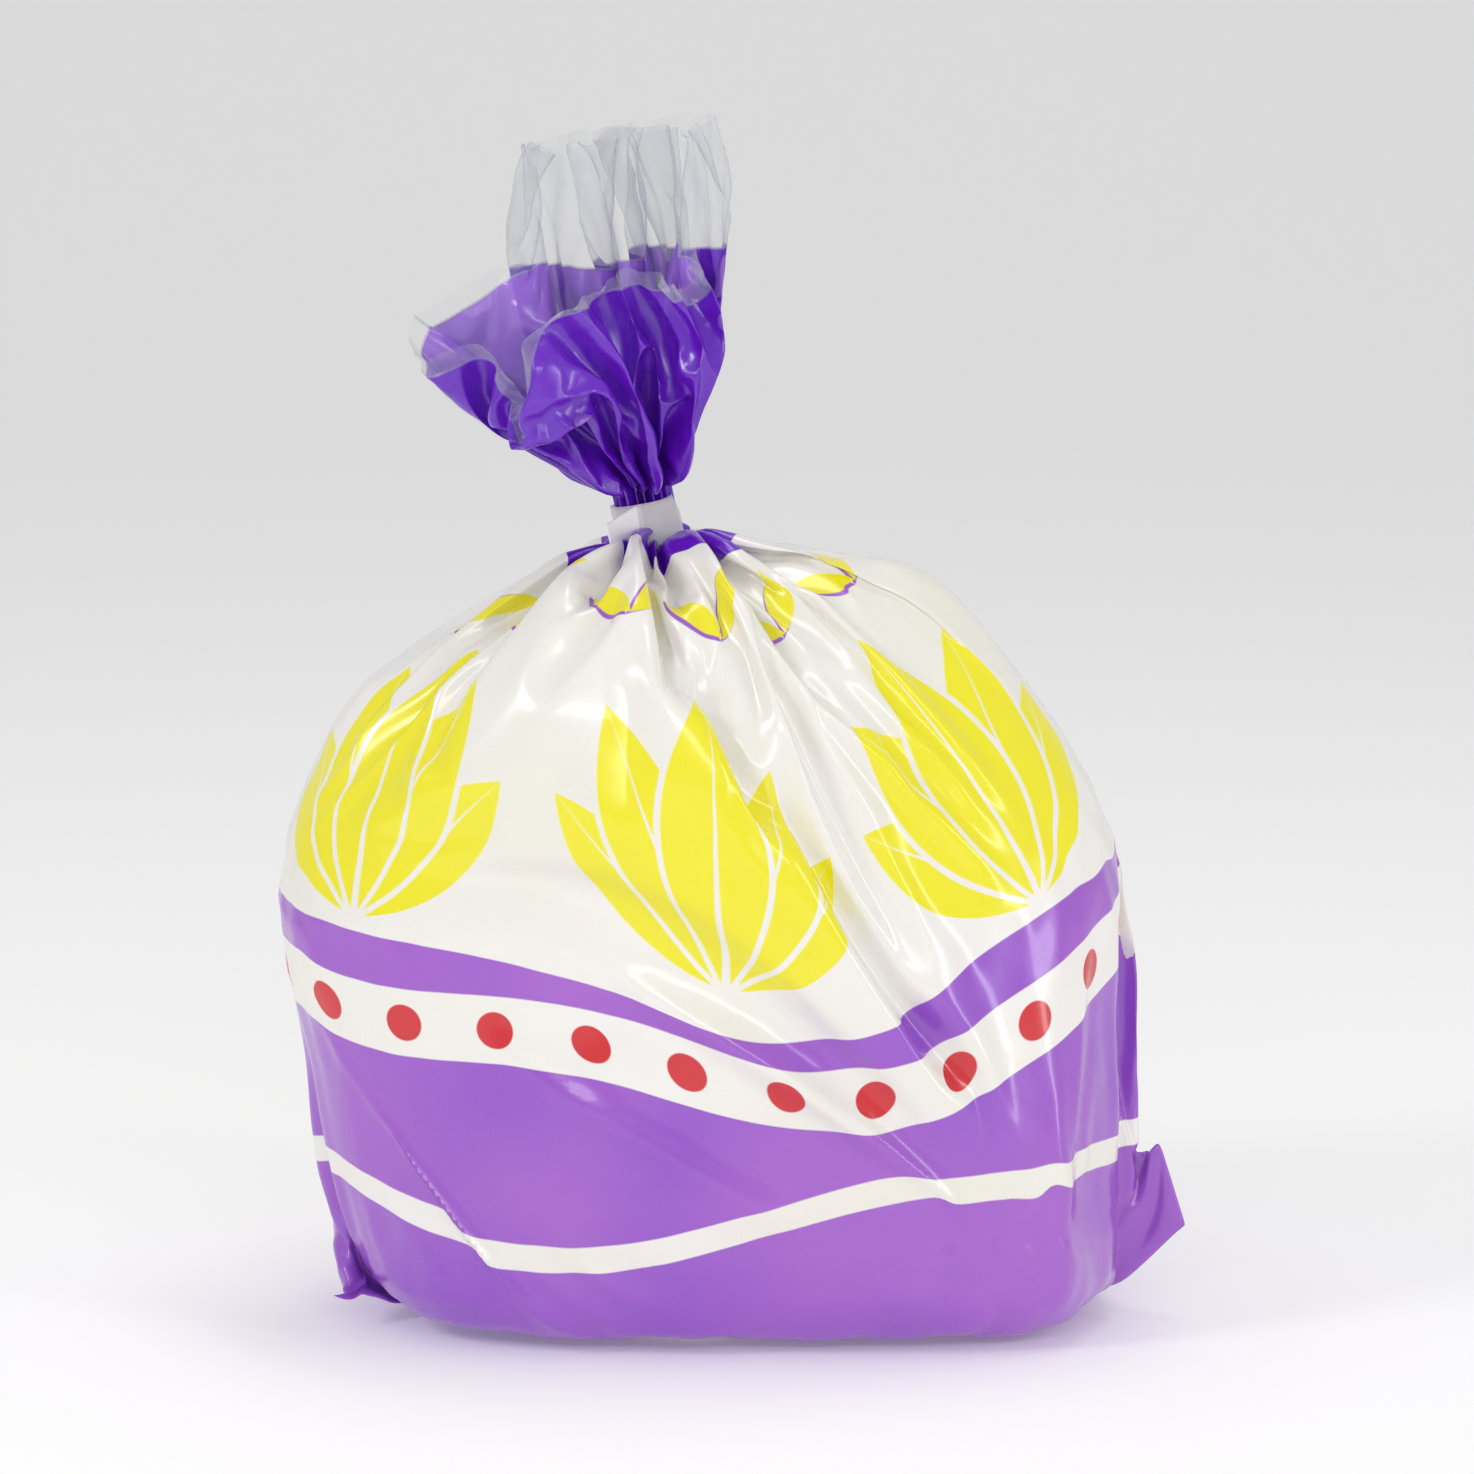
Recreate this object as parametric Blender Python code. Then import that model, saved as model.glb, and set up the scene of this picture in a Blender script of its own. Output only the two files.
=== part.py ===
"""A film bag of Belgian endive heads, closed at the neck with a strip of tape.

The bag stands on its flat base. Metres, +Z up, +X to the right of its printed front, which faces -Y.
The origin is on the surface that it stands on, under the middle of the bag.
Inside lie five heads, each built as a head grows: a cut stem, wrapping leaves and a tight heart.
"""

import math

import bmesh
import bpy
from mathutils import Matrix, Vector

MM = 0.001

# The film. Real film is about 0.04 mm thick, so this wall stands in for it.
FILM_WALL = 0.4 * MM
FILM_COLUMNS = 40
BODY_ROWS = 19
NECK_ROWS = 4
MOUTH_ROWS = 7

# Level sections of the filled bag, from the base up, in millimetres: height, left end, right end, front,
# back, squareness of the section, and how far its right end rises for each millimetre to the right.
BODY_SECTIONS = (
    (0.0, -64.0, 72.0, -32.0, 32.0, 3.0, 0.00),
    (3.0, -75.0, 80.0, -38.0, 38.0, 3.0, 0.00),
    (10.0, -83.0, 86.0, -44.0, 44.0, 3.0, 0.00),
    (24.0, -85.0, 88.5, -48.0, 48.0, 2.8, 0.00),
    (45.0, -89.0, 88.0, -49.0, 49.0, 2.8, 0.00),
    (68.0, -95.0, 86.0, -49.0, 49.0, 2.6, 0.00),
    (90.0, -97.0, 83.0, -48.0, 48.0, 2.5, 0.00),
    (107.0, -94.5, 80.0, -44.0, 44.0, 2.4, 0.00),
    (125.0, -87.0, 73.0, -37.0, 37.0, 2.3, 0.00),
    (140.0, -78.0, 63.0, -29.0, 29.0, 2.2, 0.00),
    (150.0, -65.0, 54.0, -22.0, 22.0, 2.1, 0.02),
    (158.0, -50.0, 44.0, -15.0, 15.0, 2.0, 0.04),
    (161.5, -38.0, 30.0, -11.0, 11.0, 2.0, 0.07),
)
EAR_HEIGHT = 17.0 * MM
EAR_REACH = 9.0 * MM
EAR_SPREAD = 8.0 * MM

# The gathered neck, which leans to the left, and the tape round it.
NECK_CENTRE = Vector((-19.0, 0.0, 171.5)) * MM
NECK_LEAN = math.radians(12.0)
NECK_RADIUS = 6.7 * MM
NECK_HEIGHT = 15.6 * MM
PLEAT_FLOOR = 2.2 * MM
PLEATS = 10
TAPE_WIDTH = 12.0 * MM
TAPE_WALL = 0.4 * MM
TAPE_GAP = 0.4 * MM
FLAG_LENGTH = 11.0 * MM
FLAG_WALL = 0.9 * MM
FLAG_ANGLE = math.radians(232.0)
FLAG_RISE = 0.8 * MM
TAPE_SIDES = 32

# The rim of the open mouth, in millimetres, from its left tip round the front to the right and the back.
MOUTH_RIM = (
    (-71.0, -2.0, 214.0),
    (-58.0, -15.0, 201.0),
    (-38.0, -25.0, 200.0),
    (-22.0, -23.0, 228.0),
    (-8.0, -15.0, 250.0),
    (0.0, 0.0, 258.0),
    (-8.0, 17.0, 257.0),
    (-25.0, 22.0, 255.0),
    (-44.0, 17.0, 250.0),
    (-54.0, 9.0, 232.0),
)
MOUTH_BOW = 5.0 * MM

# One head.
HEAD_LENGTH = 144.0 * MM
HEAD_RADIUS = 22.0 * MM
HEAD_WIDEST_AT = 0.42
HEAD_BASE_SHARE = 0.57
HEAD_TAPER_POWER = 0.9
LEAVES = 7
LEAF_TURN = math.radians(137.5)
LEAF_HALF_SPAN = math.radians(74.0)
LEAF_ACROSS = 6
LEAF_ALONG = 8
LEAF_START = 0.02
LEAF_END = 0.985
LEAF_END_STEP = 0.008
LEAF_WALL_MOST = 1.3 * MM
LEAF_WALL_LEAST = 0.25 * MM
LEAF_GAP = 0.3 * MM
LAYER_AT_BASE = 0.85 * MM
LAYER_AT_MIDDLE = 1.6 * MM
LAYER_AT_TIP = 0.5 * MM
HEART_START = 0.10
HEART_SIDES = 14
HEART_RINGS = 10
STEM_RADIUS = 6.0 * MM
STEM_TIP_RADIUS = 2.0 * MM
STEM_TOP = 0.28
STEM_GAP = 0.4 * MM

# Where the heads lie: middle in Y and Z, the way the tip points along X, a shift along X, and a spin.
HEADS = {
    "head_a": (-22.4, 24.6, 1, 1.0, 10.0),
    "head_b": (22.4, 24.6, -1, 1.0, 95.0),
    "head_c": (-22.4, 69.2, -1, -5.0, 200.0),
    "head_d": (22.4, 69.2, 1, -5.0, 300.0),
    "head_e": (0.0, 107.9, -1, -9.0, 45.0),
}

# Colours as red, green, blue, with roughness and metallic.
FILM_FINISH = ((0.86, 0.84, 0.82), 0.30, 0.0)
TAPE_FINISH = ((0.88, 0.86, 0.83), 0.45, 0.0)
LEAF_FINISH = ((0.90, 0.88, 0.62), 0.40, 0.0)
HEART_FINISH = ((0.92, 0.89, 0.66), 0.40, 0.0)
STEM_FINISH = ((0.84, 0.78, 0.62), 0.60, 0.0)


def clear_scene():
    for thing in list(bpy.data.objects):
        bpy.data.objects.remove(thing, do_unlink=True)


def finish_material(name, finish):
    """A Principled material of one colour, roughness and metallic value."""
    colour, roughness, metallic = finish
    material = bpy.data.materials.new(name)
    material.use_nodes = True
    shader = material.node_tree.nodes["Principled BSDF"]
    shader.inputs["Base Color"].default_value = (*colour, 1.0)
    shader.inputs["Roughness"].default_value = roughness
    shader.inputs["Metallic"].default_value = metallic
    return material


def make_object(name, shape, finish, smooth=True):
    """Turn a bmesh into a named object with a material of its own."""
    mesh = bpy.data.meshes.new(name)
    shape.to_mesh(mesh)
    shape.free()
    if smooth:
        mesh.shade_smooth()
    mesh.materials.append(finish_material(name, finish))
    thing = bpy.data.objects.new(name, mesh)
    bpy.context.scene.collection.objects.link(thing)
    return thing


def spline(values, place):
    """Read a smooth curve through evenly counted values at a place from 0 to len(values) - 1."""
    last = len(values) - 1
    index = min(int(place), last - 1)
    share = place - index
    before = values[max(index - 1, 0)]
    start = values[index]
    end = values[index + 1]
    after = values[min(index + 2, last)]
    slope_in = 0.5 * (end - before)
    slope_out = 0.5 * (after - start)
    gap = start - end
    cubic = 2.0 * gap + slope_in + slope_out
    square = -3.0 * gap - 2.0 * slope_in - slope_out
    return start + share * (slope_in + share * (square + share * cubic))


def neck_frame():
    """The neck's own axes: X across it, Y to the back and Z up along its lean."""
    return Matrix.Translation(NECK_CENTRE) @ Matrix.Rotation(-NECK_LEAN, 4, "Y")


# The film is one sheet of columns and rows. Its columns run from the left end round the front; its rows
# are counted in sections of the body, then of the neck, then of the mouth.


def body_point(section, angle):
    """A point of the filled body, at a place among its sections."""
    height, left, right, front, back, square, rise = (
        spline([values[item] for values in BODY_SECTIONS], section) * scale
        for item, scale in enumerate((MM, MM, MM, MM, MM, 1.0, 1.0))
    )
    across = -math.cos(angle)
    deep = -math.sin(angle)
    power = 2.0 / square
    middle = 0.5 * (left + right)
    x = middle + 0.5 * (right - left) * math.copysign(abs(across) ** power, across)
    reach = back if deep > 0.0 else -front
    y = reach * math.copysign(abs(deep) ** power, deep)
    near_ear = max(across, 0.0) ** 12 * math.exp(-(((height - EAR_HEIGHT) / EAR_SPREAD) ** 2))
    return Vector((x + EAR_REACH * near_ear, y, height + rise * (x - middle)))


def neck_point(along, angle):
    """A point of the gathered neck, from its foot at 0 to its top at 1: pleats run up between two radii."""
    wave = 0.5 + 0.5 * math.cos(PLEATS * angle)
    radius = PLEAT_FLOOR + (NECK_RADIUS - PLEAT_FLOOR) * wave
    local = Vector((-radius * math.cos(angle), -radius * math.sin(angle), (along - 0.5) * NECK_HEIGHT))
    return neck_frame() @ local


def rim_point(angle):
    """A point of the mouth's rim, at the same angle as the column that ends there."""
    count = len(MOUTH_RIM)
    loop = [Vector(MOUTH_RIM[item % count]) * MM for item in range(-1, count + 2)]
    return spline(loop, 1.0 + count * angle / (2.0 * math.pi))


def mouth_point(along, angle):
    """A point of the flared mouth, from the neck at 0 to the rim at 1, bowed outward."""
    start = neck_point(1.0, angle)
    end = rim_point(angle)
    outward = end - neck_frame() @ Vector((0.0, 0.0, 0.5 * NECK_HEIGHT))
    outward.z = 0.0
    return start.lerp(end, along) + outward.normalized() * MOUTH_BOW * math.sin(math.pi * along)


def film_point(row, angle):
    """A point of the whole film, with the row counted from the edge of the base."""
    if row < BODY_ROWS:
        return body_point((len(BODY_SECTIONS) - 1) * row / (BODY_ROWS - 1), angle)
    if row < BODY_ROWS + NECK_ROWS:
        return neck_point((row - BODY_ROWS) / (NECK_ROWS - 1), angle)
    return mouth_point((row - BODY_ROWS - NECK_ROWS + 1) / MOUTH_ROWS, angle)


def make_film():
    """The bag: one sheet closed by a flat base, open at the mouth, given a wall towards its inside."""
    last_row = BODY_ROWS + NECK_ROWS + MOUTH_ROWS - 1
    shape = bmesh.new()
    bmesh.ops.create_grid(shape, x_segments=FILM_COLUMNS, y_segments=last_row, size=1.0)
    for vert in shape.verts:
        row = round(0.5 * (vert.co.y + 1.0) * last_row)
        vert.co = film_point(row, math.pi * (vert.co.x + 1.0))
    bmesh.ops.remove_doubles(shape, verts=shape.verts, dist=1e-6)
    base_edges = [edge for edge in shape.edges if edge.is_boundary and edge.verts[0].co.z < 1.0 * MM]
    bmesh.ops.edgeloop_fill(shape, edges=base_edges)
    bmesh.ops.recalc_face_normals(shape, faces=shape.faces)
    if next(face for face in shape.faces if len(face.verts) > 4).normal.z > 0.0:
        bmesh.ops.reverse_faces(shape, faces=shape.faces)
    film = make_object("bag_film", shape, FILM_FINISH)
    wall = film.modifiers.new("wall", "SOLIDIFY")
    wall.thickness = FILM_WALL
    wall.offset = -1.0
    return film


def make_tape():
    """The strip round the neck, with its two ends stuck together as a flag."""
    outer = NECK_RADIUS + TAPE_GAP + TAPE_WALL
    shape = bmesh.new()
    circle = bmesh.ops.create_circle(shape, segments=TAPE_SIDES, radius=outer)["verts"]
    bmesh.ops.translate(shape, verts=circle, vec=(0.0, 0.0, -0.5 * TAPE_WIDTH))
    raised = bmesh.ops.extrude_edge_only(shape, edges=shape.edges)["geom"]
    raised = [item for item in raised if isinstance(item, bmesh.types.BMVert)]
    bmesh.ops.translate(shape, verts=raised, vec=(0.0, 0.0, TAPE_WIDTH))
    bmesh.ops.recalc_face_normals(shape, faces=shape.faces)
    tape = make_object("neck_tape", shape, TAPE_FINISH)
    tape.matrix_world = neck_frame()
    wall = tape.modifiers.new("wall", "SOLIDIFY")
    wall.thickness = TAPE_WALL
    wall.offset = -1.0

    flag = bmesh.new()
    bmesh.ops.create_cube(flag, size=1.0)
    bmesh.ops.scale(flag, verts=flag.verts, vec=(FLAG_LENGTH, FLAG_WALL, TAPE_WIDTH - 2.5 * FLAG_RISE))
    root = outer - 0.5 * TAPE_WALL
    bmesh.ops.translate(flag, verts=flag.verts, vec=(root + 0.5 * FLAG_LENGTH, 0.0, FLAG_RISE))
    turn = Matrix.Rotation(FLAG_ANGLE, 3, "Z")
    bmesh.ops.rotate(flag, verts=flag.verts, cent=(0.0, 0.0, 0.0), matrix=turn)
    guide = make_object("flag_guide", flag, TAPE_FINISH, smooth=False)
    guide.parent = tape
    guide.hide_render = True
    guide.display_type = "WIRE"
    join = tape.modifiers.new("flag", "BOOLEAN")
    join.operation = "UNION"
    join.solver = "EXACT"
    join.object = guide
    return tape


# One head stands along +Z in its own space, its cut foot at the origin, and is then laid in the bag.


def head_radius(place):
    """The radius of the whole head at a share of its length."""
    if place < HEAD_WIDEST_AT:
        swell = math.sin(0.5 * math.pi * place / HEAD_WIDEST_AT)
        return HEAD_RADIUS * (HEAD_BASE_SHARE + (1.0 - HEAD_BASE_SHARE) * swell)
    taper = math.cos(0.5 * math.pi * (place - HEAD_WIDEST_AT) / (1.0 - HEAD_WIDEST_AT))
    return HEAD_RADIUS * max(taper, 0.0) ** HEAD_TAPER_POWER


def layer_depth(place):
    """How deep one leaf lies below the next at a share of the head's length."""
    if place < HEAD_WIDEST_AT:
        share = place / HEAD_WIDEST_AT
        return LAYER_AT_BASE + (LAYER_AT_MIDDLE - LAYER_AT_BASE) * share
    share = (place - HEAD_WIDEST_AT) / (1.0 - HEAD_WIDEST_AT)
    return LAYER_AT_MIDDLE + (LAYER_AT_TIP - LAYER_AT_MIDDLE) * math.sqrt(share)


def leaf_radius(place, layer):
    """The radius of a leaf's outer side; layer 0 is the outermost leaf."""
    return head_radius(place) - layer * layer_depth(place)


def leaf_wall(place, across, radius):
    """A leaf's thickness: thick on its midrib, thin at its margins, and never into the next leaf."""
    facet_dip = radius * (1.0 - math.cos(LEAF_HALF_SPAN / LEAF_ACROSS))
    room = layer_depth(place) - LEAF_GAP * min(1.0, 4.0 * (1.0 - place)) - facet_dip
    rib = 1.0 - 0.6 * across * across
    return max(min(room, LEAF_WALL_MOST) * rib, min(LEAF_WALL_LEAST, 0.6 * layer_depth(place)))


def make_leaf(name, layer, place_head):
    """A curved sheet wrapped round the head's axis, with a wall that thins to its margins."""
    end = LEAF_END - LEAF_END_STEP * (layer + 1)
    turn = LEAF_TURN * layer
    shape = bmesh.new()
    bmesh.ops.create_grid(shape, x_segments=LEAF_ACROSS, y_segments=LEAF_ALONG, size=1.0)
    walls = {}
    for vert in shape.verts:
        across = vert.co.x
        along = 0.5 * (vert.co.y + 1.0)
        place = LEAF_START + (end - LEAF_START) * along
        narrow = 0.80 + 0.20 * math.sin(math.pi * min(1.0, 1.4 * along))
        tip = math.sqrt(max(0.0, 1.0 - (max(0.0, along - 0.70) / 0.305) ** 2))
        angle = turn + across * LEAF_HALF_SPAN * narrow * tip
        radius = max(leaf_radius(place, layer), 1.0 * MM)
        walls[vert.index] = leaf_wall(place, across, radius)
        vert.co = Vector((radius * math.cos(angle), radius * math.sin(angle), place * HEAD_LENGTH))
    leaf = make_object(name, shape, LEAF_FINISH)
    leaf.matrix_world = place_head
    group = leaf.vertex_groups.new(name="wall")
    for index, wall in walls.items():
        group.add([index], wall / LEAF_WALL_MOST, "REPLACE")
    solid = leaf.modifiers.new("wall", "SOLIDIFY")
    solid.thickness = LEAF_WALL_MOST
    solid.offset = -1.0
    solid.vertex_group = "wall"
    return leaf


def stem_radius(place):
    """The core tapers from its cut face to a blunt point inside the heart."""
    return STEM_RADIUS + (STEM_TIP_RADIUS - STEM_RADIUS) * place / STEM_TOP


def turned(name, outline, finish, place_head):
    """A solid turned about the head's axis from an outline of radius and height."""
    shape = bmesh.new()
    chain = [shape.verts.new((radius, 0.0, height)) for radius, height in outline]
    for start, end in zip(chain, chain[1:]):
        shape.edges.new((start, end))
    bmesh.ops.spin(
        shape, geom=shape.verts[:] + shape.edges[:], cent=(0, 0, 0), axis=(0, 0, 1),
        angle=2.0 * math.pi, steps=HEART_SIDES, use_merge=True,
    )
    bmesh.ops.remove_doubles(shape, verts=shape.verts, dist=1e-6)
    bmesh.ops.recalc_face_normals(shape, faces=shape.faces)
    solid = make_object(name, shape, finish)
    solid.matrix_world = place_head
    return solid


def make_stem(name, place_head):
    """The core that carries the leaves, with the flat face where it was cut."""
    top = STEM_TOP * HEAD_LENGTH
    outline = [(0.0, 0.0), (STEM_RADIUS - 0.5 * MM, 0.0), (STEM_RADIUS, 0.5 * MM)]
    outline += [(stem_radius(share * STEM_TOP), share * top) for share in (0.33, 0.66, 0.93)]
    outline += [(0.6 * STEM_TIP_RADIUS, 0.99 * top), (0.0, top)]
    return turned(name, outline, STEM_FINISH, place_head)


def make_heart(name, place_head):
    """The bud of inner leaves, with a recess in its foot for the point of the core."""
    end = LEAF_END - LEAF_END_STEP * (LEAVES + 2)
    top = STEM_TOP * HEAD_LENGTH + 2.0 * STEM_GAP
    outline = [(0.0, top), (0.8 * STEM_TIP_RADIUS + STEM_GAP, top - 0.3 * MM)]
    for place in (0.93 * STEM_TOP, 0.5 * (STEM_TOP + HEART_START), HEART_START):
        outline.append((stem_radius(place) + STEM_GAP, place * HEAD_LENGTH))
    for ring in range(HEART_RINGS):
        place = HEART_START + (end - HEART_START) * ring / HEART_RINGS
        outline.append((leaf_radius(place, LEAVES) - 0.2 * MM, place * HEAD_LENGTH))
    outline.append((0.0, end * HEAD_LENGTH))
    return turned(name, outline, HEART_FINISH, place_head)


def make_head(name, across_bag, height, way, shift, spin):
    """One head laid on its side: its axis runs along X, its tip to the side that way says."""
    middle = Vector((shift, across_bag, height)) * MM
    lay = Matrix.Rotation(way * 0.5 * math.pi, 4, "Y") @ Matrix.Rotation(math.radians(spin), 4, "Z")
    foot = middle - Vector((way * 0.5 * HEAD_LENGTH, 0.0, 0.0))
    place_head = Matrix.Translation(foot) @ lay
    make_stem(f"{name}_stem", place_head)
    make_heart(f"{name}_heart", place_head)
    for layer in range(LEAVES):
        make_leaf(f"{name}_leaf_{layer + 1}", layer, place_head)


def main():
    clear_scene()
    make_film()
    make_tape()
    for name, place in HEADS.items():
        make_head(name, *place)


main()
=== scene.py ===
"""The looks of a filled film bag of Belgian endive, closed at its neck with a strip of tape.

The film is a flat welded tube that is filled, gathered at the neck and left open above it. It is simulated
in that order. Every size is in metres unless a comment says otherwise. The front of the bag faces -Y.
"""

import functools
import itertools
import math

import bmesh
import bpy
from mathutils import Matrix, Vector, noise
from mathutils.bvhtree import BVHTree


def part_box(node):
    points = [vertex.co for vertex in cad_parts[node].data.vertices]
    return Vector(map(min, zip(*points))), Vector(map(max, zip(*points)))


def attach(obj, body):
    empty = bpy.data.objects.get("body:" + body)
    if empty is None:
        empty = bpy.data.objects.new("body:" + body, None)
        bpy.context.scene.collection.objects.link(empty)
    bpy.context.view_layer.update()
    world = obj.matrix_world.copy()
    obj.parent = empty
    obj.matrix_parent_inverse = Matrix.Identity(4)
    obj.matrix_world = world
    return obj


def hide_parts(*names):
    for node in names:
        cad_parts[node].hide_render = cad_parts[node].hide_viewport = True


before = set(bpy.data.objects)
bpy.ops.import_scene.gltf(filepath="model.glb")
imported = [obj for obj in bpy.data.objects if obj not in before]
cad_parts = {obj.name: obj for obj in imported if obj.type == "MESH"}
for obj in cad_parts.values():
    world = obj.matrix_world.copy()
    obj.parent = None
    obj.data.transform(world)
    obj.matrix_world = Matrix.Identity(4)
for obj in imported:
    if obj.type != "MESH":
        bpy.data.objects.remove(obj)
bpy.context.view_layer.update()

MM = 0.001

# The flat film: its length round the tube, and its height from the bottom weld to the rim of the back panel,
# which ends in a lip. The neck is gathered between two heights, and the flat base uses up the lowest part.
FILM_AROUND = 0.460
FILM_LONG = 0.338
LIP = 0.025
LIP_STEP = 0.012
NECK_FROM = 0.240
NECK_TO = 0.252
BASE_DEPTH = 0.045

# The film's mesh: columns round it, and the rows where the neck and the mouth start and where the rim is.
COLUMNS = 200
NECK_ROW = 76
MOUTH_ROW = 81
RIM_ROW = 117

# The gathered neck, as it is in the solid model, and its pleats inside the tape.
NECK_CENTRE = Vector((-19.0, 0.0, 171.5)) * MM
NECK_LEAN = math.radians(12.0)
NECK_PLEATS = 19
NECK_PLEAT_RADII = (1.8 * MM, 6.7 * MM)

# The open tube that the film starts as, round its contents.
TUBE_HALF_WIDTH = 0.092
TUBE_HALF_DEPTH = 0.048
TUBE_HALF_WELD = 0.1135
TUBE_LIFT = 1.5 * MM
TUBE_CURL = 10.0 * MM

# The bottom weld under the filled bag: its two ends lift as ears, and its middle is drawn together.
WELD_EAR = 0.045
WELD_WAVE = 6.0 * MM
LEFT_EAR = (Vector((-88.0, -22.0, 5.0)) * MM, Vector((-68.0, -8.0, 1.5)) * MM)
RIGHT_EAR = (Vector((98.5, -5.0, 17.5)) * MM, Vector((83.0, -1.0, 2.5)) * MM)
# The side fold rises from the right ear along these points, in millimetres.
RIGHT_FOLD = ((98.5, -5.0, 17.5), (95.0, -4.0, 28.0), (91.2, -3.0, 38.5))
FOLD_ROWS = 7

# The rim of the mouth, in millimetres. The front one, from the left side fold to the right, makes a wing
# and a low fold. The lip behind it is drawn into knife pleats that lie flat.
FRONT_RIM = (
    (-46, 4, 231), (-73, -3, 217), (-53, -14, 209), (-45, -24, 190),
    (-36, -21, 207), (-25, -16, 226), (-15, -14, 226), (-9, -4, 230),
)
BACK_RIM = (Vector((-8.0, 2.0, 258.0)) * MM, Vector((-43.0, 8.0, 251.5)) * MM)
LIP_PLEATS = 5
LIP_PLEAT_REACH = 9.0 * MM
LIP_PLEAT_DEPTH = 3.0 * MM
# Where the rim is held: the share of the way round, how far along it, and how firmly.
RIM_HOLDS = (
    (0.000, 0.020, 0.90), (0.071, 0.020, 1.00), (0.143, 0.020, 0.80), (0.214, 0.030, 0.80),
    (0.357, 0.035, 0.80), (0.430, 0.020, 0.60),
    (0.500, 0.030, 0.90), (0.600, 0.070, 1.00), (0.750, 0.100, 1.00), (0.900, 0.070, 1.00),
)

# Above the tie the film rises in a straight line before it falls over the low fold.
CREST = Vector((-41.0, -13.0, 202.0)) * MM
CREST_WAY = Vector((0.6, -0.8, 0.0))
CREST_GATHER = 0.3
CREST_ROW = MOUTH_ROW + 18
CREST_HOLD = (0.19, 0.045, 0.7)

# The simulation runs at ten times the size, where the solver's shortest distances are fine enough.
SIM_SCALE = 10.0
GATHERED_FRAME = 26
LAST_FRAME = 42


def smooth_step(start, end, value):
    share = min(max((value - start) / (end - start), 0.0), 1.0)
    return share * share * (3.0 - 2.0 * share)


def spline(points, place):
    """A smooth open curve through points, at a place counted in points."""
    last = len(points) - 1
    place = min(max(place, 0.0), float(last))
    index = min(int(place), last - 1)
    share = place - index
    before, start, end, after = (points[min(max(index + step, 0), last)] for step in (-1, 0, 1, 2))
    return 0.5 * (
        2.0 * start
        + (end - before) * share
        + (2.0 * before - 5.0 * start + 4.0 * end - after) * share**2
        + (3.0 * start - before - 3.0 * end + after) * share**3
    )


# A spot of the film has a place around, from 0 at the left side fold, over the front, to 1, and a place
# along, the distance from the bottom weld in the flat film.


def front_share(around):
    """1 on the front panel and 0 on the back one, with a short slope at the side folds."""
    off_centre = abs((around + 0.25) % 1.0 - 0.5)
    return 1.0 - smooth_step(0.25 - LIP_STEP, 0.25 + LIP_STEP, off_centre)


def film_along(around, row):
    if row <= NECK_ROW:
        return NECK_FROM * row / NECK_ROW
    if row <= MOUTH_ROW:
        return NECK_FROM + (NECK_TO - NECK_FROM) * (row - NECK_ROW) / (MOUTH_ROW - NECK_ROW)
    rim = FILM_LONG - LIP * front_share(around)
    return NECK_TO + (rim - NECK_TO) * (row - MOUTH_ROW) / (RIM_ROW - MOUTH_ROW)


@functools.lru_cache(maxsize=None)
def tube_ring(share):
    """Even steps round the tube's section, which is its weld at share 0 and its full width at share 1."""
    half_width = TUBE_HALF_WELD + (TUBE_HALF_WIDTH - TUBE_HALF_WELD) * share
    half_depth = TUBE_HALF_DEPTH * share
    power = 2.0 / (2.0 + 0.9 * share)
    ring = []
    for index in range(8 * COLUMNS + 1):
        angle = 2.0 * math.pi * index / (8 * COLUMNS)
        across, deep = -math.cos(angle), -math.sin(angle)
        ring.append(Vector((
            half_width * math.copysign(abs(across) ** power, across),
            half_depth * math.copysign(abs(deep) ** power, deep),
            0.0,
        )))
    reaches = list(itertools.accumulate(((end - start).length for start, end in itertools.pairwise(ring)),
                                        initial=0.0))
    steps = []
    index = 0
    for column in range(COLUMNS + 1):
        reach = reaches[-1] * column / COLUMNS
        while index < len(ring) - 2 and reaches[index + 1] < reach:
            index += 1
        part = (reach - reaches[index]) / max(reaches[index + 1] - reaches[index], 1.0e-9)
        steps.append(ring[index].lerp(ring[index + 1], min(part, 1.0)))
    return steps


def tube_place(around, along):
    """The film as an open tube, standing on its bottom weld round its contents."""
    share = min(along / BASE_DEPTH, 1.0)
    spot = tube_ring(share)[round(around * COLUMNS)].copy()
    spot.z = TUBE_LIFT + TUBE_CURL * share * share + max(along - BASE_DEPTH, 0.0)
    if along > 0.0:
        ripple = noise.noise(Vector((60.0 * spot.x, 120.0 * spot.y, 40.0 * along)))
        spot += Vector((spot.x, spot.y, 0.0)).normalized() * ripple * MM
    return spot


def around_reach(around):
    """The distance from the left side fold, over the front or the back."""
    return min(around, 1.0 - around) * FILM_AROUND


def weld_place(around):
    """The bottom weld once the bag is filled."""
    half = 0.5 * FILM_AROUND
    reach = around_reach(around)

    def ear(distance, tip, foot, onward):
        length = (foot - tip).length
        if distance < length:
            return tip.lerp(foot, distance / length)
        return foot + onward * (distance - length)

    def left(distance):
        return ear(distance, *LEFT_EAR, Vector((0.98, 0.2, 0.0)))

    def right(distance):
        return ear(distance, *RIGHT_EAR, Vector((-1.0, 0.0, 0.0)))

    if reach < WELD_EAR:
        return left(reach)
    if reach > half - WELD_EAR:
        return right(half - reach)
    share = (reach - WELD_EAR) / (half - 2.0 * WELD_EAR)
    spot = left(WELD_EAR).lerp(right(WELD_EAR), share)
    spot.y += WELD_WAVE * math.sin(math.pi * share) * math.sin(9.0 * math.pi * share)
    return spot


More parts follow.
